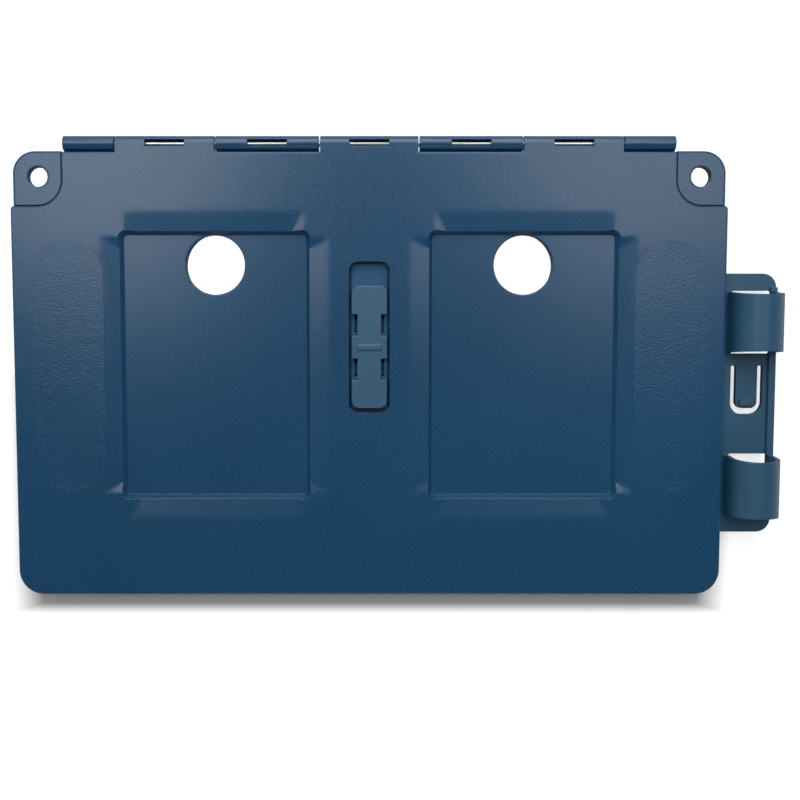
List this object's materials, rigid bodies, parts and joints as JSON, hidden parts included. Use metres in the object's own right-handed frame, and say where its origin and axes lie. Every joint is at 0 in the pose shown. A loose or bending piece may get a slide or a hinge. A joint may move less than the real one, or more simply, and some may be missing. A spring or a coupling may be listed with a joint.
{
  "type": "folding board game case",
  "caption": "Thin hinged plastic game case with card wells, finger holes, a sliding latch, corner eyelets, a clip-on marker holder and fleets of flat ships inside.",
  "frame": {"origin": "middle of the tray's flat back face, on the surface the closed case lies on", "axes": "+X towards the marker holder, +Y towards the hinge, +Z out of the lid's face"},
  "size_m": [0.2701, 0.1624, 0.0214],
  "materials": {
    "case_plastic": "fine moulded grain",
    "slider_plastic": "fine moulded grain",
    "holder_plastic": "smooth satin",
    "pin_steel": "drawn rod",
    "grid_film": "wipe-clean film over a print",
    "rack_plastic": "satin",
    "light_fleet": "satin moulding",
    "dark_fleet": "satin moulding"
  },
  "bodies": {
    "tray": {"tray_shell": "case_plastic", "hinge_pin": "pin_steel", "marker_holder": "holder_plastic", "fleet_rack": "rack_plastic", "tray_grid_left": "grid_film", "tray_grid_right": "grid_film", "left_fleet_carrier": "light_fleet", "left_fleet_battleship": "light_fleet", "left_fleet_cruiser": "light_fleet", "left_fleet_submarine": "light_fleet", "left_fleet_patrol_boat": "light_fleet", "right_fleet_carrier": "dark_fleet", "right_fleet_battleship": "dark_fleet", "right_fleet_cruiser": "dark_fleet", "right_fleet_submarine": "dark_fleet", "right_fleet_patrol_boat": "dark_fleet"},
    "lid": {"lid_shell": "case_plastic", "lid_grid_left": "grid_film", "lid_grid_right": "grid_film"},
    "latch": {"latch_slider": "slider_plastic"}
  },
  "joints": [
    {"name": "lid_hinge", "type": "hinge", "parent": "tray", "child": "lid", "pos_m": [0, 0.08135, 0.0093], "axis": [-1, 0, 0], "range_deg": [0, 180]},
    {"name": "latch_slide", "type": "slide", "parent": "lid", "child": "latch", "axis": [0, 1, 0], "range_m": [0, 0.0075]}
  ]
}
